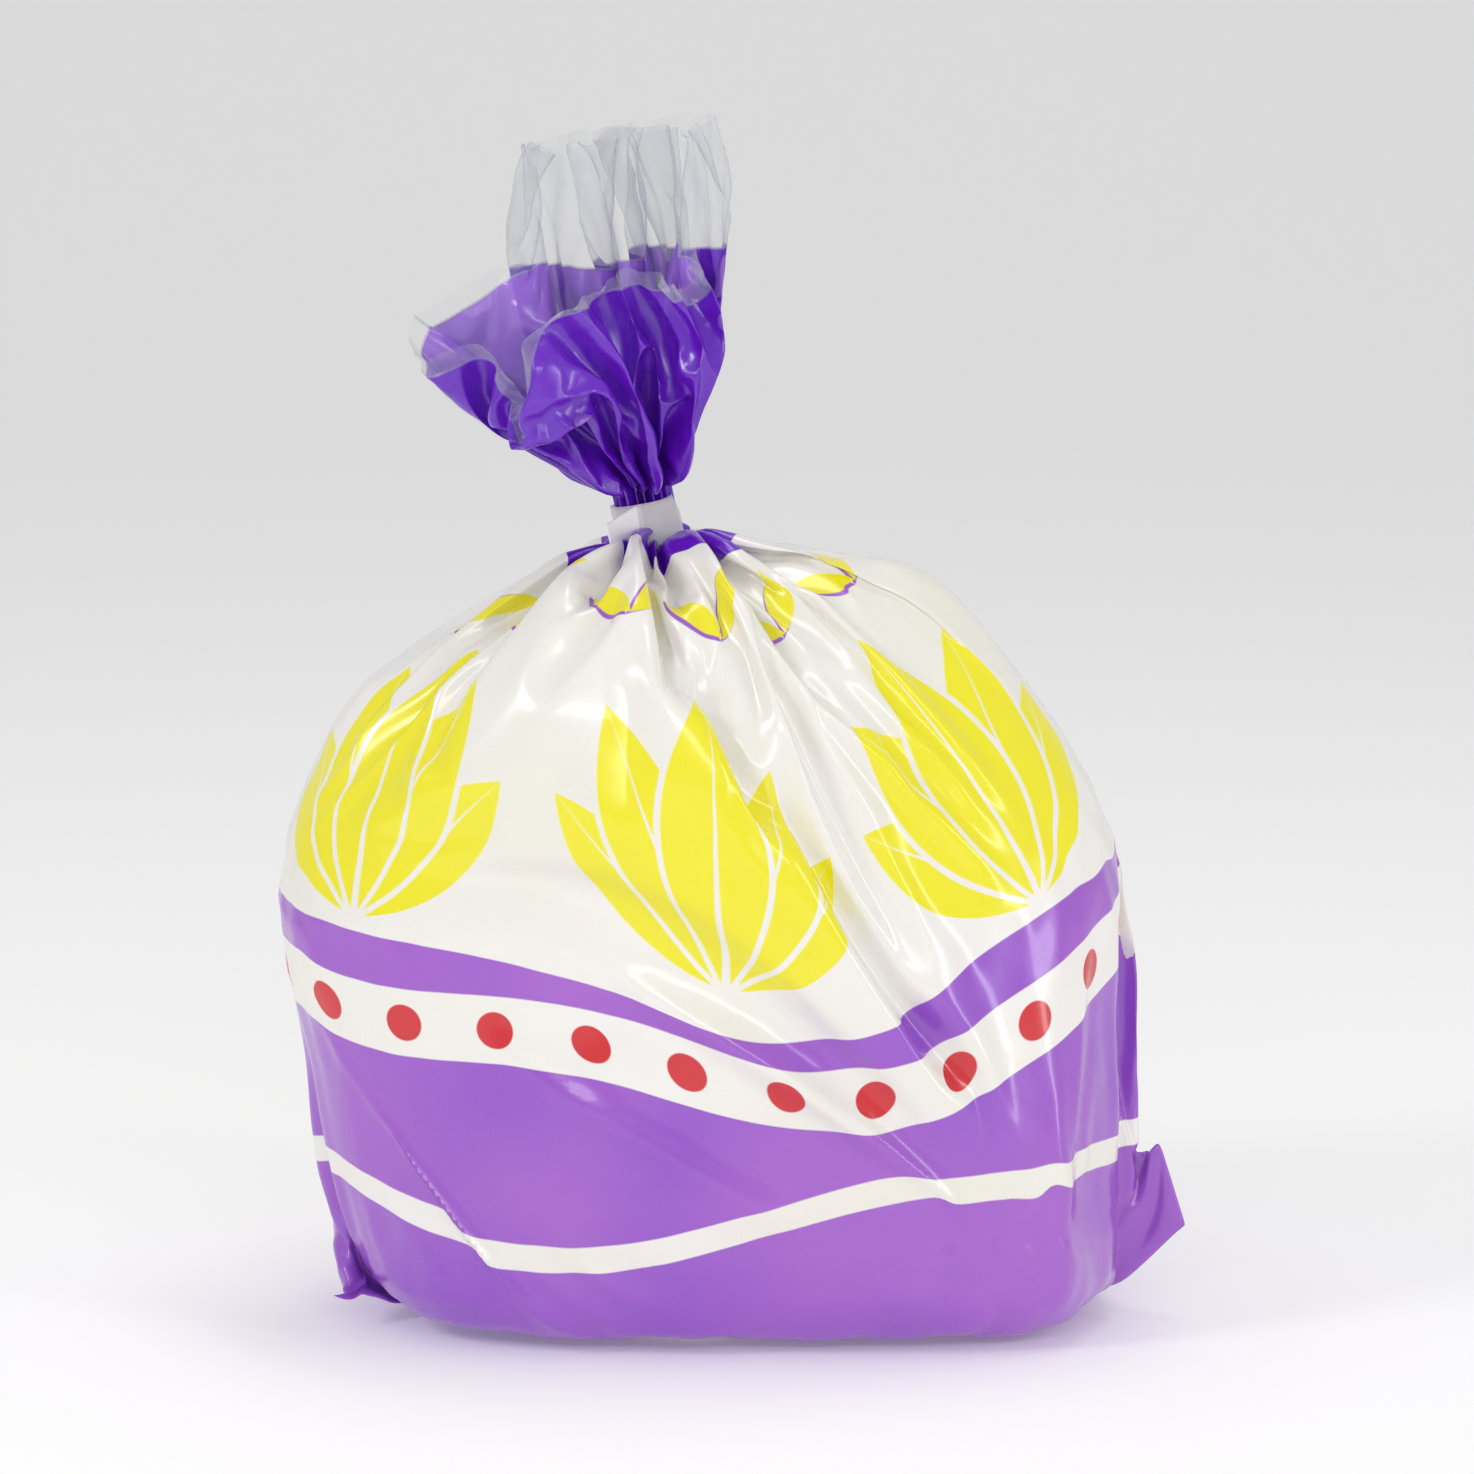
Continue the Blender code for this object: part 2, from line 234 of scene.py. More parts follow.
def neck_place(around, along):
    """The gathered neck: uneven pleats round its leaning axis."""
    angle = 2.0 * math.pi * around
    uneven = 0.9 * math.sin(3.0 * angle + 1.0)
    wave = math.cos(NECK_PLEATS * angle + uneven + 0.5 * math.sin(7.0 * angle + 2.0))
    inner, outer = NECK_PLEAT_RADII
    radius = inner + (outer - inner) * (0.5 + 0.5 * wave)
    height = along - 0.5 * (NECK_FROM + NECK_TO)
    spot = Vector((-radius * math.cos(angle), -radius * math.sin(angle), height))
    return NECK_CENTRE + Matrix.Rotation(-NECK_LEAN, 3, "Y") @ spot


def lip_place(around):
    """The rim of the lip in flat knife pleats: each goes over, back under itself, and on."""
    share = min(max(2.0 * around - 1.0, 0.0), 1.0)
    start, end = BACK_RIM
    pleat = LIP_PLEATS * share
    sunk = (pleat - 0.2) % 1.0
    sunk = sunk / 0.85 if sunk < 0.85 else 1.0 - smooth_step(0.85, 1.0, sunk)
    fade = min(1.0, 12.0 * share, 12.0 * (1.0 - share))
    spot = start.lerp(end, share)
    spot += (end - start).normalized() * LIP_PLEAT_REACH * fade * math.sin(2.0 * math.pi * pleat)
    spot.y += LIP_PLEAT_DEPTH * fade * sunk
    return spot


def rim_place(around):
    """The rim of the mouth where it has come to rest."""
    front_place = (around if around < 0.75 else 0.0) * 2.0 * (len(FRONT_RIM) - 1)
    front = spline([Vector(point) * MM for point in FRONT_RIM], front_place)
    back = lip_place(around if around > 0.25 else 1.0)
    return back.lerp(front, front_share(around))


def firmness(around, hold):
    """How firmly a stretch of the film is held, most in its middle."""
    middle, spread, most = hold
    distance = abs((around - middle + 0.5) % 1.0 - 0.5)
    return most * math.exp(-((distance / spread) ** 2))


def film_target(around, row):
    """Where the gathered film is drawn to, and how firmly from 0 to 1. The rest of it is free."""
    along = film_along(around, row)
    half = 0.5 * FILM_AROUND
    if row == 0:
        return weld_place(around), 1.0 if half - around_reach(around) < WELD_EAR else 0.9
    if row <= FOLD_ROWS and around == 0.5:
        points = [Vector(point) * MM for point in RIGHT_FOLD]
        return spline(points, row * (len(points) - 1) / FOLD_ROWS), 1.0
    if NECK_ROW <= row <= MOUTH_ROW + 1:
        return neck_place(around, along), 1.0
    if row == RIM_ROW:
        return rim_place(around), max(firmness(around, hold) for hold in RIM_HOLDS)
    if row == CREST_ROW:
        side = CREST_WAY * (around - CREST_HOLD[0]) * FILM_AROUND * CREST_GATHER
        return CREST + side, firmness(around, CREST_HOLD)
    return tube_place(around, along), 0.0


def film_sheet(name, first_row, last_row):
    """A ring of film ready for simulation, with its open and its gathered shape."""
    shape = bmesh.new()
    column_of = shape.verts.layers.int.new("column")
    row_of = shape.verts.layers.int.new("row")
    flat = shape.loops.layers.uv.new("film")
    rows = last_row - first_row
    bmesh.ops.create_grid(shape, x_segments=COLUMNS, y_segments=rows, size=0.5)
    for vert in shape.verts:
        vert[column_of] = round((vert.co.x + 0.5) * COLUMNS)
        vert[row_of] = first_row + round((vert.co.y + 0.5) * rows)
    for face in shape.faces:
        for loop in face.loops:
            around = loop.vert[column_of] / COLUMNS
            loop[flat].uv = (around, film_along(around, loop.vert[row_of]) / FILM_LONG)
    for vert in shape.verts:
        around = vert[column_of] / COLUMNS
        vert.co = tube_place(around, film_along(around, vert[row_of])) * SIM_SCALE
    bmesh.ops.remove_doubles(shape, verts=shape.verts, dist=0.01 * MM)
    spots = [(vert[column_of] / COLUMNS, vert[row_of]) for vert in shape.verts]
    mesh = bpy.data.meshes.new(name)
    shape.to_mesh(mesh)
    shape.free()
    sheet = bpy.data.objects.new(name, mesh)
    bpy.context.scene.collection.objects.link(sheet)
    sheet.shape_key_add(name="open")
    gathered = sheet.shape_key_add(name="gathered")
    hold = sheet.vertex_groups.new(name="hold")
    everywhere = sheet.vertex_groups.new(name="everywhere")
    for index, (around, row) in enumerate(spots):
        place, held = film_target(around, row)
        gathered.data[index].co = place * SIM_SCALE
        everywhere.add([index], 1.0, "REPLACE")
        if held > 0.01:
            hold.add([index], held, "REPLACE")
    gathered.value = 0.0
    gathered.keyframe_insert("value", frame=1)
    gathered.value = 1.0
    gathered.keyframe_insert("value", frame=GATHERED_FRAME)
    return sheet


def make_cloth(sheet, bending, air, weight):
    """Thin film: stiff along its surface, limp across it, and never through itself."""
    cloth = sheet.modifiers.new("film", "CLOTH")
    film = cloth.settings
    film.quality = 5
    film.mass = 0.01
    film.tension_stiffness = 120.0
    film.compression_stiffness = 80.0
    film.shear_stiffness = 15.0
    film.bending_stiffness = bending
    film.tension_damping = 5.0
    film.compression_damping = 5.0
    film.shear_damping = 5.0
    film.bending_damping = 0.5
    film.air_damping = 2.0
    film.vertex_group_mass = "hold"
    film.pin_stiffness = 1.0
    if air:
        film.use_pressure = True
        film.uniform_pressure_force = air
        film.vertex_group_pressure = "everywhere"
    film.effector_weights.gravity = weight
    touch = cloth.collision_settings
    touch.use_collision = True
    touch.distance_min = 0.01
    touch.collision_quality = 2
    touch.use_self_collision = True
    touch.self_distance_min = 0.006
    cloth.point_cache.frame_start = 1
    cloth.point_cache.frame_end = LAST_FRAME


def make_solid(name, shape):
    """A body that the film can't pass."""
    mesh = bpy.data.meshes.new(name)
    shape.to_mesh(mesh)
    shape.free()
    body = bpy.data.objects.new(name, mesh)
    bpy.context.scene.collection.objects.link(body)
    body.modifiers.new("solid", "COLLISION")
    body.collision.thickness_outer = 0.01
    body.collision.cloth_friction = 5.0
    return body


# The contents that the film settles round, from the solid bag cut off at the top, and lower under the neck.
# Both shoulders are drawn in towards the neck, the left one more. The low right end is slim, so that the
# film makes a side fold there, and a ridge under the neck lifts the front.
FILL_TOP = 0.163
FILL_NECK_TOP = 0.156
FILL_NECK_REACH = 0.014
FILL_RIGHT = 0.082
FILL_SLIM = 0.75
LEFT_SHOULDER_DRAW = 0.32
LEFT_BASE_DRAW = 0.045
RIGHT_SHOULDER_DRAW = 0.05
RIDGE_DEPTH = 0.009
RIDGE_MIDDLE = -0.012
FILL_SCALE = (0.985, 0.95, 0.985)
FILL_SHIFT = (-1.0 * MM, 0.0, 2.0 * MM)


def make_fill():
    """What the heads and the air between them take up: the bag's body, rounded and a little smaller."""
    shape = bmesh.new()
    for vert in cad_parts["bag_film"].data.vertices:
        shape.verts.new(vert.co)
    above = [
        vert for vert in shape.verts
        if vert.co.z > FILL_TOP
        or (vert.co.z > FILL_NECK_TOP and abs(vert.co.x - NECK_CENTRE.x) < FILL_NECK_REACH)
    ]
    bmesh.ops.delete(shape, geom=above, context="VERTS")
    for vert in shape.verts:
        vert.co.x = min(vert.co.x, FILL_RIGHT)
        slim = smooth_step(0.068, 0.088, vert.co.x) * (1.0 - smooth_step(0.05, 0.11, vert.co.z))
        vert.co.y *= 1.0 - FILL_SLIM * slim * (0.45 + 0.55 * smooth_step(0.004, 0.022, vert.co.z))
        if vert.co.x < NECK_CENTRE.x:
            shoulder = LEFT_SHOULDER_DRAW * smooth_step(0.130, 0.160, vert.co.z)
            drawn_in = shoulder + LEFT_BASE_DRAW * (1.0 - smooth_step(0.03, 0.09, vert.co.z))
        else:
            drawn_in = RIGHT_SHOULDER_DRAW * smooth_step(0.100, 0.150, vert.co.z)
        vert.co.x = NECK_CENTRE.x + (vert.co.x - NECK_CENTRE.x) * (1.0 - drawn_in)
        if vert.co.y < 0.0:
            ridge = smooth_step(0.110, 0.140, vert.co.z) * (1.0 - smooth_step(0.147, 0.156, vert.co.z))
            off_middle = abs(vert.co.x - RIDGE_MIDDLE)
            vert.co.y -= RIDGE_DEPTH * ridge * (1.0 - smooth_step(0.020, 0.055, off_middle))
    hull = bmesh.ops.convex_hull(shape, input=shape.verts)
    inner = [item for item in hull["geom_interior"] if isinstance(item, bmesh.types.BMVert)]
    bmesh.ops.delete(shape, geom=inner, context="VERTS")
    bmesh.ops.scale(shape, verts=shape.verts, vec=FILL_SCALE)
    bmesh.ops.translate(shape, verts=shape.verts, vec=FILL_SHIFT)
    bmesh.ops.scale(shape, verts=shape.verts, vec=(SIM_SCALE,) * 3)
    bmesh.ops.recalc_face_normals(shape, faces=shape.faces)
    return make_solid("fill", shape)


def make_ground():
    shape = bmesh.new()
    bmesh.ops.create_grid(shape, x_segments=2, y_segments=2, size=3.0)
    return make_solid("ground", shape)


def settle(sheets):
    """Run the simulation, and return all the sheets as one bmesh at their real size."""
    scene = bpy.context.scene
    scene.frame_start = 1
    scene.frame_end = LAST_FRAME
    for number in range(1, LAST_FRAME + 1):
        scene.frame_set(number)
    depsgraph = bpy.context.evaluated_depsgraph_get()
    shape = bmesh.new()
    for sheet in sheets:
        mesh = bpy.data.meshes.new_from_object(sheet.evaluated_get(depsgraph))
        shape.from_mesh(mesh)
        bpy.data.meshes.remove(mesh)
    bmesh.ops.scale(shape, verts=shape.verts, vec=(1.0 / SIM_SCALE,) * 3)
    bmesh.ops.remove_doubles(shape, verts=shape.verts, dist=0.02 * MM)
    scene.frame_set(1)
    return shape


def remove(things):
    for thing in things:
        mesh = thing.data
        bpy.data.objects.remove(thing, do_unlink=True)
        bpy.data.meshes.remove(mesh)


def simulated_film():
    """The settled film: the body below the tape and the mouth above it, joined in the gathered neck."""
    body = film_sheet("film_body", 0, MOUTH_ROW)
    mouth = film_sheet("film_mouth", MOUTH_ROW, RIM_ROW)
    make_cloth(body, bending=1.0, air=1.0, weight=0.4)
    make_cloth(mouth, bending=1.5, air=0.0, weight=0.0)
    helpers = [make_fill(), make_ground()]
    shape = settle([body, mouth])
    remove([body, mouth] + helpers)
    return shape


# Handled film: the depths of its dents and of its hard-edged facets, and the facets' sizes.
CRUMPLE_DEPTH = 2.2 * MM
FACET_DEPTH = 2.4 * MM
MOUTH_FACET = 0.014
BODY_FACET = 0.030

# The soft folds of the body are deepened by this share, in the rows between these.
FOLD_GAIN = 0.9
GAIN_STARTS = (4.0, 12.0)
GAIN_ENDS = (28.0, 46.0)

# The bag's lower corners, and its ears in them, as ranges outwards and upwards.
CORNERS = ((0.068, 0.082), (0.060, 0.090))
EARS = ((0.076, 0.086), (0.040, 0.060))

# Where a head would reach the film, the film is lifted to this gap from it. Heads are looked for this far
# out from the film.
HEAD_GAP = 0.8 * MM
HEAD_SEARCH = 9.0 * MM


def facets(spot, size):
    """Flat-sided dents of about one size, as in crumpled film."""
    distances, _ = noise.voronoi(spot / size)
    return distances[0]


def corner_share(spot, outwards, upwards):
    """1 low down at the bag's two sides, where two layers of the film lie close, and 0 away from there."""
    return smooth_step(*outwards, abs(spot.x)) * (1.0 - smooth_step(*upwards, spot.z))


def crumple(shape):
    """Handled film keeps faint hard-edged dents, and sharper facets in the gathered mouth."""
    row_of = shape.verts.layers.int["row"]
    shape.normal_update()
    moves = []
    for vert in shape.verts:
        row = vert[row_of]
        body = smooth_step(0.0, 6.0, row) * (1.0 - smooth_step(0.8 * NECK_ROW, NECK_ROW, row))
        body *= 1.0 - corner_share(vert.co, *EARS)
        mouth = smooth_step(MOUTH_ROW + 6.0, MOUTH_ROW + 22.0, row)
        mouth *= 1.0 - 0.6 * smooth_step(RIM_ROW - 7.0, RIM_ROW - 1.0, row)
        slack = 0.5 + 0.5 * noise.noise(vert.co * 14.0 + Vector((3.0, 1.0, 5.0)))
        low = 1.0 - 0.5 * smooth_step(0.06, 0.14, vert.co.z)
        dent = noise.turbulence(vert.co * 32.0, 2, True, amplitude_scale=0.45, frequency_scale=2.1)
        move = CRUMPLE_DEPTH * body * slack * low * dent
        sharp = mouth * facets(vert.co, MOUTH_FACET) + 0.5 * body * slack * facets(vert.co, BODY_FACET)
        move += FACET_DEPTH * sharp
        moves.append(vert.normal * move)
    for vert, move in zip(shape.verts, moves):
        vert.co -= move


def smooth(shape, factor, times):
    """Smooth all but the rim, which keeps its length."""
    inner = [vert for vert in shape.verts if not vert.is_boundary]
    for _ in range(times):
        bmesh.ops.smooth_vert(shape, verts=inner, factor=factor,
                              use_axis_x=True, use_axis_y=True, use_axis_z=True)


def deepen_folds(shape):
    """Draw the body's soft folds deeper: each spot moves away from the film's smoothed surface."""
    row_of = shape.verts.layers.int["row"]
    before = [vert.co.copy() for vert in shape.verts]
    smooth(shape, 0.5, 60)
    for vert, spot in zip(shape.verts, before):
        row = vert[row_of]
        gain = FOLD_GAIN * smooth_step(*GAIN_STARTS, row) * (1.0 - smooth_step(*GAIN_ENDS, row))
        vert.co = spot + (spot - vert.co) * gain * (1.0 - corner_share(spot, *CORNERS))


def clear_heads(shape):
    """Lift the film off the solid heads near it. At the underside a few spots of one leaf still reach
    through the finished film."""
    heads = bmesh.new()
    for name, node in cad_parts.items():
        if name.startswith("head_"):
            heads.from_mesh(node.data)
    tree = BVHTree.FromBMesh(heads)
    heads.free()
    shape.normal_update()
    lift = {}
    for vert in shape.verts:
        outside = vert.co + vert.normal * HEAD_SEARCH
        distance = tree.ray_cast(outside, -vert.normal, HEAD_SEARCH + HEAD_GAP)[3]
        reached = distance is not None and vert.co.z < FILL_TOP
        lift[vert] = HEAD_SEARCH + HEAD_GAP - distance if reached else 0.0
    for _ in range(6):
        around = {vert: [edge.other_vert(vert) for edge in vert.link_edges] for vert in lift}
        lift = {
            vert: max(own, 0.92 * sum(lift[other] for other in around[vert]) / len(around[vert]))
            for vert, own in lift.items()
        }
    for vert, distance in lift.items():
        vert.co += vert.normal * distance


def make_film():
    """The bag's film as one open sheet."""
    shape = simulated_film()
    smooth(shape, 0.35, 1)
    deepen_folds(shape)
    crumple(shape)
    clear_heads(shape)
    lowest = min(vert.co.z for vert in shape.verts)
    bmesh.ops.translate(shape, verts=shape.verts, vec=(0.0, 0.0, 0.1 * MM - lowest))
    film = add_piece("printed_film", shape, film_material())
    finer = film.modifiers.new("finer", "SUBSURF")
    finer.levels = 1
    finer.render_levels = 1
    return film


# ---- Shader building ----


def linear(code):
    """A colour written as in a paint shop, as the linear values that shaders read."""
    parts = [int(code[index:index + 2], 16) / 255.0 for index in (0, 2, 4)]
    parts = [part / 12.92 if part <= 0.04045 else ((part + 0.055) / 1.055) ** 2.4 for part in parts]
    return (*parts, 1.0)


class Shading:
    """Nodes added to one node tree, each call returning the socket that the next one reads."""

    def __init__(self, tree):
        self.tree = tree

    def node(self, kind, inputs=(), **settings):
        made = self.tree.nodes.new("ShaderNode" + kind)
        for name, value in settings.items():
            setattr(made, name, value)
        for name, value in dict(inputs).items():
            self.feed(made.inputs[name], value)
        return made

    def feed(self, socket, value):
        if isinstance(value, bpy.types.NodeSocket):
            self.tree.links.new(value, socket)
        else:
            socket.default_value = value

    def math(self, operation, *values, clamp=False):
        made = self.node("Math", operation=operation, use_clamp=clamp)
        for index, value in enumerate(values):
            self.feed(made.inputs[index], value)
        return made.outputs[0]

    def colour(self, share, below, above):
        made = self.node("Mix", data_type="RGBA")
        for index, value in zip((0, 6, 7), (share, below, above)):
            self.feed(made.inputs[index], value)
        return made.outputs[2]

    def number(self, share, below, above):
        made = self.node("Mix", data_type="FLOAT")
        for index, value in zip((0, 2, 3), (share, below, above)):
            self.feed(made.inputs[index], value)
        return made.outputs[0]

    def split(self, vector):
        made = self.node("SeparateXYZ", {0: vector})
        return made.outputs[0], made.outputs[1]

    def join(self, across, up):
        return self.node("CombineXYZ", {0: across, 1: up}).outputs[0]

    def wave(self, turns, phase, across, height):
        """height * sin(turns * across + phase), where across is an angle in radians."""
        angle = self.math("MULTIPLY_ADD", across, float(turns), phase)
        return self.math("MULTIPLY", self.math("SINE", angle), height)

    def below(self, value, edge, softness=0.3):
        """1 where value is under edge, 0 where it is over, with a soft edge."""
        gap = self.math("SUBTRACT", edge, value)
        return self.math("MULTIPLY_ADD", gap, 1.0 / softness, 0.5, clamp=True)

    def noise(self, vector, scale, detail=3.0, **settings):
        made = self.node("TexNoise", {"Vector": vector, "Scale": scale, "Detail": detail}, **settings)
        return made.outputs["Fac"]

    def group(self, name, inputs):
        made = self.node("Group", node_tree=bpy.data.node_groups[name])
        for socket, value in inputs.items():
            self.feed(made.inputs[socket], value)
        return made.outputs


def new_group(name, inputs, outputs):
    """An empty node group with named sockets, and the nodes that stand for its inputs and its outputs."""
    tree = bpy.data.node_groups.new(name, "ShaderNodeTree")
    for way, sockets in (("INPUT", inputs), ("OUTPUT", outputs)):
        for socket, (kind, value) in sockets.items():
            made = tree.interface.new_socket(socket, in_out=way, socket_type="NodeSocket" + kind)
            if value is not None:
                made.default_value = value
    shading = Shading(tree)
    entry = tree.nodes.new("NodeGroupInput").outputs
    exit_node = tree.nodes.new("NodeGroupOutput")
    return shading, entry, exit_node.inputs


def new_material(name):
    material = bpy.data.materials.new(name)
    material.use_nodes = True
    principled = material.node_tree.nodes["Principled BSDF"]
    return material, Shading(material.node_tree), principled


FLOAT = ("Float", 0.0)
VECTOR = ("Vector", None)
COLOUR = ("Color", (1.0, 1.0, 1.0, 1.0))


def leaf_outline_group():
    """One printed leaf, a pointed oval that grows from the origin. The units are printed millimetres."""
    shading, entry, leave = new_group(
        "leaf outline",
        {"Vector": VECTOR, "Angle": FLOAT, "Length": ("Float", 50.0), "Width": ("Float", 14.0)},
        {"Leaf": FLOAT, "Surround": FLOAT, "Midrib": FLOAT},
    )
    turned = shading.node("VectorRotate", {"Vector": entry["Vector"], "Angle": entry["Angle"]},
                          rotation_type="Z_AXIS").outputs[0]
    across, up = shading.split(turned)
    share = shading.math("DIVIDE", up, entry["Length"])
    swell = shading.math("MULTIPLY", share, shading.math("SUBTRACT", 1.0, share))
    half = shading.math("MULTIPLY", swell, shading.math("MULTIPLY", entry["Width"], 2.0))
    off = shading.math("ABSOLUTE", across)
    leaf = shading.below(off, half)
    shading.feed(leave["Leaf"], leaf)
    shading.feed(leave["Surround"], shading.below(off, shading.math("ADD", half, 1.3)))
    rib = shading.below(off, shading.math("MULTIPLY_ADD", share, -0.9, 0.85))
    shading.feed(leave["Midrib"], shading.math("MULTIPLY", rib, leaf))


# The leaves of a printed fan: each one's lean in degrees, and its length and width in printed millimetres.
FAN_LEAVES = (
    (-44.0, 47.0, 18.0), (44.0, 47.0, 18.0),
    (-22.0, 60.0, 20.0), (22.0, 60.0, 20.0),
    (0.0, 68.0, 22.0),
)


def leaf_fan_group():
    """Five printed leaves that spread from one point, the middle one in front."""
    shading, entry, leave = new_group("leaf fan", {"Vector": VECTOR}, {"Leaves": FLOAT})
    leaves = 0.0
    for degrees, length, width in FAN_LEAVES:
        leaf = shading.group("leaf outline", {
            "Vector": entry["Vector"], "Angle": math.radians(degrees), "Length": length, "Width": width})
        cleared = shading.math("MULTIPLY", leaves, shading.math("SUBTRACT", 1.0, leaf["Surround"]))
        bare = shading.math("SUBTRACT", leaf["Leaf"], leaf["Midrib"])
        leaves = shading.math("MAXIMUM", cleared, bare)
    shading.feed(leave["Leaves"], leaves)


# Hard-edged facets of film: how many there are in a metre each way, and how they lie.
FACETS_PER_METRE = (105.0, 105.0, 52.5)
FACETS_TURN = (0.5, 0.35, 0.8)


def creases_group():
    """Shallow dents all over thin film, fine creases in patches and hard-edged facets, as a normal."""
    shading, entry, leave = new_group(
        "film creases",
        {"Vector": VECTOR, "Dents": ("Float", 0.2), "Creases": ("Float", 0.2), "Facets": FLOAT},
        {"Normal": VECTOR},
    )
    dents = shading.noise(entry["Vector"], 42.0, 2.0)
    creases = shading.noise(entry["Vector"], 260.0, 2.0)
    patches = shading.math("MULTIPLY_ADD", shading.noise(entry["Vector"], 24.0, 1.0), 5.0, -2.0, clamp=True)
    fine = shading.math("MULTIPLY", shading.math("MULTIPLY", creases, patches), entry["Creases"])
    height = shading.math("MULTIPLY_ADD", dents, entry["Dents"], shading.math("MULTIPLY", fine, 0.1))
    turned = shading.node("Mapping", {
        "Vector": entry["Vector"], "Rotation": FACETS_TURN, "Scale": FACETS_PER_METRE}).outputs[0]
    flats = shading.node("TexVoronoi", {"Vector": turned, "Scale": 1.0}, distance="CHEBYCHEV")
    height = shading.math("MULTIPLY_ADD", flats.outputs["Distance"], entry["Facets"], height)
    bump = shading.node("Bump", {"Strength": 0.6, "Distance": 0.004, "Height": height})
    shading.feed(leave["Normal"], bump.outputs[0])


# The print on the film, in millimetres. Heights are along it from the bottom weld.
PRINT_ROUND = FILM_AROUND / MM
FIELD_TOP = 91.0
LINE_HEIGHT = 60.0
LINE_HALF = 2.8
STRIPE = 14.5
RIBBON = 8.0
DOTS = 24
DOT_RADIUS = 3.9
FANS = 6
FAN_LIFT = 6.0
SPRIGS = 12
SPRIG_HEIGHT = 196.0
SPRIG_LEAVES = ((-48.0, 19.0), (40.0, 24.0))
SPRIG_LEAF_WIDTH = 6.5
SPRIG_SHADOW = 1.1
NECK_PRINT = 224.0
BARE_FROM = 309.0


def film_print_group():
    """The print on the film: a wavy field, a dotted stripe, fans of leaves, sprigs and a solid neck."""
    shading, entry, leave = new_group(
        "film print",
        {"Spot": VECTOR, "White": COLOUR, "Purple": COLOUR, "Deep Purple": COLOUR,
         "Yellow": COLOUR, "Red": COLOUR},
        {"Color": COLOUR, "Bare": FLOAT, "Neck": FLOAT},
    )
    around, along = shading.split(entry["Spot"])
    turn = shading.math("MULTIPLY", around, 2.0 * math.pi)
    across = shading.math("MULTIPLY", around, PRINT_ROUND)
    up = shading.math("MULTIPLY", along, FILM_LONG / MM)
    swell = shading.math("ADD", shading.wave(2, 0.9, turn, 9.0), shading.wave(5, 2.0, turn, 2.5))
    above_field = shading.math("SUBTRACT", up, shading.math("ADD", swell, FIELD_TOP))

    field = shading.below(above_field, 0.0)
    ribbon_top = shading.math("ADD", shading.wave(3, 0.4, turn, 3.5), STRIPE + RIBBON)
    ribbon = shading.math("MULTIPLY", shading.below(above_field, ribbon_top),
                          shading.math("SUBTRACT", 1.0, shading.below(above_field, STRIPE)))
    line_height = shading.math("ADD", shading.wave(3, 1.5, turn, 7.0), LINE_HEIGHT)
    line = shading.below(shading.math("ABSOLUTE", shading.math("SUBTRACT", up, line_height)), LINE_HALF)
    field = shading.math("MULTIPLY", field, shading.math("SUBTRACT", 1.0, line))

    def repeated(count, shift=0.0):
        """The distance from the middle of the nearest of count equal stretches."""
        step = PRINT_ROUND / count
        moved = shading.math("ADD", across, shift)
        return shading.math("SUBTRACT", shading.math("MODULO", moved, step), 0.5 * step)

    dot = shading.join(repeated(DOTS), shading.math("SUBTRACT", above_field, 0.5 * STRIPE))
    off_dot = shading.node("VectorMath", {0: dot}, operation="LENGTH").outputs["Value"]
    dots = shading.below(off_dot, DOT_RADIUS)
    fan = shading.join(repeated(FANS), shading.math("SUBTRACT", above_field, STRIPE + RIBBON + FAN_LIFT))
    fans = shading.group("leaf fan", {"Vector": fan})["Leaves"]

    def sprig(shift):
        """Pairs of small leaves, moved a little to stand out as a shadow."""
        above = shading.math("SUBTRACT", up, SPRIG_HEIGHT - 0.7 * shift)
        spot = shading.join(repeated(SPRIGS, shift), above)
        leaves = [
            shading.group("leaf outline", {"Vector": spot, "Angle": math.radians(degrees),
                                           "Length": length, "Width": SPRIG_LEAF_WIDTH})["Leaf"]
            for degrees, length in SPRIG_LEAVES
        ]
        return shading.math("MAXIMUM", *leaves)

    neck_edge = shading.math("ADD", shading.wave(9, 0.0, turn, 3.0), NECK_PRINT)
    neck = shading.math("SUBTRACT", 1.0, shading.below(up, neck_edge))
    bare = shading.math("SUBTRACT", 1.0, shading.below(up, BARE_FROM, 0.8))

    colour = shading.colour(fans, entry["White"], entry["Yellow"])
    colour = shading.colour(sprig(SPRIG_SHADOW), colour, entry["Purple"])
    colour = shading.colour(sprig(0.0), colour, entry["Yellow"])
    colour = shading.colour(shading.math("MAXIMUM", field, ribbon), colour, entry["Purple"])
    colour = shading.colour(dots, colour, entry["Red"])
    colour = shading.colour(neck, colour, entry["Deep Purple"])
    shading.feed(leave["Color"], colour)
    shading.feed(leave["Bare"], bare)
    shading.feed(leave["Neck"], shading.math("MULTIPLY", neck, shading.math("SUBTRACT", 1.0, bare)))


